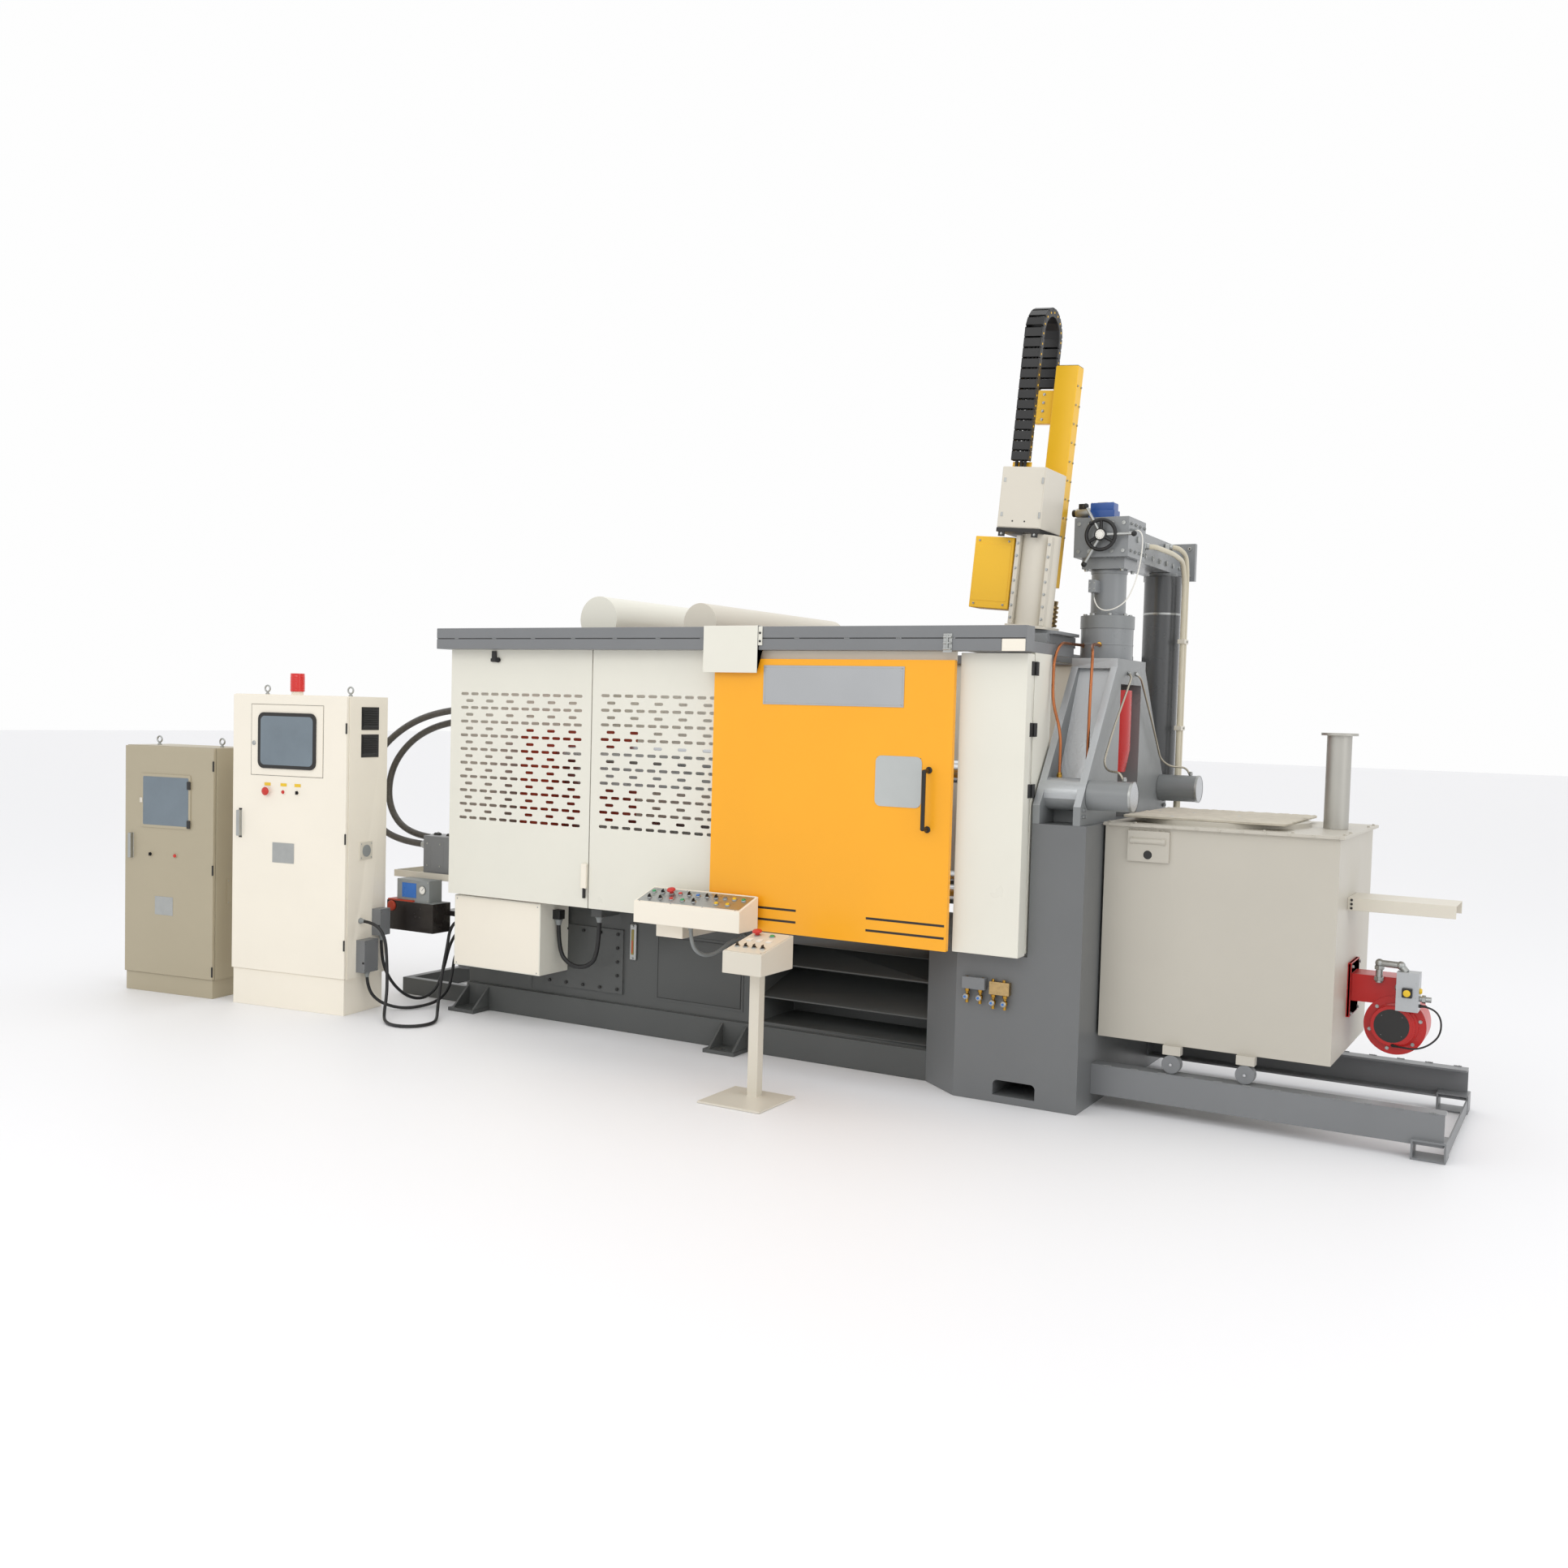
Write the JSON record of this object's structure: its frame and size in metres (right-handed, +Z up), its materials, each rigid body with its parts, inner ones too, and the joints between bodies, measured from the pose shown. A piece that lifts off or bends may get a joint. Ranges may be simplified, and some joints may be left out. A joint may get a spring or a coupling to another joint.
{
  "type": "die casting machine",
  "caption": "Hot-chamber die casting machine with sliding guard, leaning spray robot, furnace on rails with burner and flue, push-button pedestal and two control cabinets.",
  "frame": {"origin": "on the floor, under the middle of the platen column's width and on the machine's centreline", "axes": "+X along the machine from the cabinets towards the furnace, -Y the operator's side, +Z up"},
  "size_m": [7.3105, 2.459, 3.7408],
  "materials": {
    "beige_paint": "satin",
    "black_paint": "satin",
    "black_plastic": "satin",
    "blue_paint": "satin",
    "brass": "satin",
    "bright_steel": "brushed",
    "copper": "satin",
    "cream_paint": "satin",
    "dark_paint": "satin",
    "fire_board": "matt",
    "grey_paint": "satin",
    "grey_plastic": "satin",
    "red_paint": "satin",
    "rubber": "matt",
    "white_paint": "satin",
    "white_plastic": "satin",
    "window_plastic": "gloss",
    "yellow_paint": "satin"
  },
  "bodies": {
    "machine": {"platen_column": "grey_paint", "column_valves": "brass", "bed_frame": "dark_paint", "electrical_box": "white_paint", "anchor_feet": "dark_paint", "floor_frame": "grey_paint", "end_tray": "grey_paint", "lube_pump": "dark_paint", "motor": "black_paint", "first_door": "white_paint", "second_door": "white_paint", "guard_panels": "white_paint", "top_rail": "grey_paint", "roof_hoods": "white_paint", "clamp_platens": "dark_paint", "bars_and_links": "bright_steel", "control_desk": "white_paint", "pedestal": "white_paint", "yoke": "grey_paint", "shift_rams": "bright_steel", "injection_cylinder": "grey_paint", "valve_block": "grey_paint", "accumulator": "dark_paint", "blue_valve": "blue_paint", "sprayer_base": "bright_steel", "spray_column": "white_paint", "spray_box": "white_paint", "side_box": "yellow_paint", "spray_arm": "yellow_paint", "spray_head": "bright_steel", "drag_chain": "black_plastic", "furnace_rails": "grey_paint", "small_cabinet_body": "beige_paint", "tall_cabinet_body": "white_paint", "pipework": "copper", "upper_hose": "rubber", "lower_hose": "rubber", "box_conduit": "grey_plastic", "desk_conduit": "rubber", "front_cable": "rubber", "middle_cable": "rubber", "back_cable": "rubber", "sensor_lead": "white_plastic"},
    "sliding_guard": {"safety_door": "yellow_paint", "door_window": "window_plastic", "door_handle": "black_plastic"},
    "service_cover": {"service_panel": "white_paint"},
    "wheel": {"handwheel": "black_plastic"},
    "furnace": {"furnace_body": "cream_paint", "furnace_rollers": "bright_steel", "furnace_top_plate": "cream_paint", "furnace_lid": "fire_board", "flue_pipe": "bright_steel", "cable_arm": "cream_paint", "burner": "red_paint", "burner_lead": "rubber"},
    "plunger_unit": {"plunger": "red_paint"},
    "small_door": {"small_cabinet_door": "beige_paint"},
    "tall_door": {"tall_cabinet_door": "white_paint"}
  },
  "joints": [
    {"name": "guard_slide", "type": "slide", "parent": "machine", "child": "sliding_guard", "axis": [1, 0, 0], "range_m": [-1.15, 0]},
    {"name": "service_hinge", "type": "hinge", "parent": "machine", "child": "service_cover", "pos_m": [0.0443, -0.703, 1.45], "axis": [0, 0, 1], "range_deg": [0, 90]},
    {"name": "wheel_spin", "type": "hinge", "parent": "machine", "child": "wheel", "pos_m": [0.15, -0.18, 2.664], "axis": [0, 1, 0], "range_deg": [-180, 180]},
    {"name": "furnace_roll", "type": "slide", "parent": "machine", "child": "furnace", "axis": [1, 0, 0], "range_m": [0, 0.4]},
    {"name": "plunger_stroke", "type": "slide", "parent": "machine", "child": "plunger_unit", "axis": [0, 0, -1], "range_m": [0, 0.12]},
    {"name": "small_door_hinge", "type": "hinge", "parent": "machine", "child": "small_door", "pos_m": [-4.77164, -1.26411, 0.8], "axis": [0, 0, 1], "range_deg": [0, 110]},
    {"name": "tall_door_hinge", "type": "hinge", "parent": "machine", "child": "tall_door", "pos_m": [-3.81768, -1.14799, 1], "axis": [0, 0, 1], "range_deg": [0, 110]}
  ]
}
